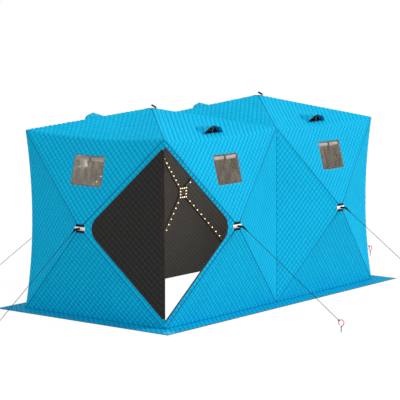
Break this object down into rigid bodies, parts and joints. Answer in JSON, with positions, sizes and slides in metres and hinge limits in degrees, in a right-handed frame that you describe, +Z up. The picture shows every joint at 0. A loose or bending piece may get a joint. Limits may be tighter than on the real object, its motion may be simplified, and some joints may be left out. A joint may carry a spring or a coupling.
{
  "type": "pop-up ice fishing shelter",
  "caption": "Double-cell pop-up ice fishing hut: quilted fabric walls and roof on crossed spring poles, with hinged door flap, film windows, roof vents, ground skirt, guy lines and stakes.",
  "frame": {"origin": "on the ground at the middle of the plan", "axes": "+X along the long front wall to the right, -Y out of the front wall with the doorway, +Z up"},
  "size_m": [6.436, 4.636, 2.0694],
  "materials": {
    "quilted_shell": "quilted polyester",
    "door_quilting": "quilted lining outwards when open",
    "window_film": "clear flexible film",
    "blind_cloth": "plain cloth",
    "black_webbing": "woven webbing",
    "reflective_band": "reflective tape",
    "vent_prop": "matt",
    "vent_mesh": "fine net",
    "pole": "pultruded glass fibre rod",
    "hub_plastic": "moulded",
    "guy_rope": "braided cord",
    "ring_paint": "gloss",
    "stake_steel": "zinc plated",
    "skirt_cloth": "coated polyester",
    "wire": "thin insulated wire"
  },
  "bodies": {
    "shelter": {"back_left_lower_panel": "quilted_shell", "back_left_side_panels": "quilted_shell", "back_left_upper_panel": "quilted_shell", "back_right_lower_panel": "quilted_shell", "back_right_side_panels": "quilted_shell", "back_right_upper_panel": "quilted_shell", "blind_straps": "black_webbing", "corner_cups": "hub_plastic", "door_surround": "quilted_shell", "end_skirts": "skirt_cloth", "front_left_lower_panel": "quilted_shell", "front_left_side_panels": "quilted_shell", "front_left_upper_panel": "quilted_shell", "front_right_lower_panel": "quilted_shell", "front_right_side_panels": "quilted_shell", "front_right_upper_panel": "quilted_shell", "guy_ropes": "guy_rope", "hub_bands": "reflective_band", "hub_patches": "black_webbing", "left_end_lower_panel": "quilted_shell", "left_end_side_panels": "quilted_shell", "left_end_upper_panel": "quilted_shell", "left_roof_ends": "quilted_shell", "left_roof_slopes": "quilted_shell", "light_string": "wire", "long_skirts": "skirt_cloth", "right_end_lower_panel": "quilted_shell", "right_end_side_panels": "quilted_shell", "right_end_upper_panel": "quilted_shell", "right_roof_ends": "quilted_shell", "right_roof_slopes": "quilted_shell", "roof_hub_caps": "quilted_shell", "roof_hubs": "hub_plastic", "roof_poles": "pole", "roof_tabs": "black_webbing", "stake_rings": "ring_paint", "stake_shafts": "stake_steel", "vent_hoods": "quilted_shell", "vent_props": "vent_prop", "vent_screens": "vent_mesh", "wall_hubs": "hub_plastic", "wall_poles": "pole", "window_blinds": "blind_cloth", "window_panes": "window_film"},
    "door": {"door_flap": "door_quilting"}
  },
  "joints": [
    {"name": "door_hinge", "type": "hinge", "parent": "shelter", "child": "door", "pos_m": [-1.80226, -0.90226, 0], "axis": [0.0089, 0.0089, 0.9999], "range_deg": [0, 245.9]}
  ]
}
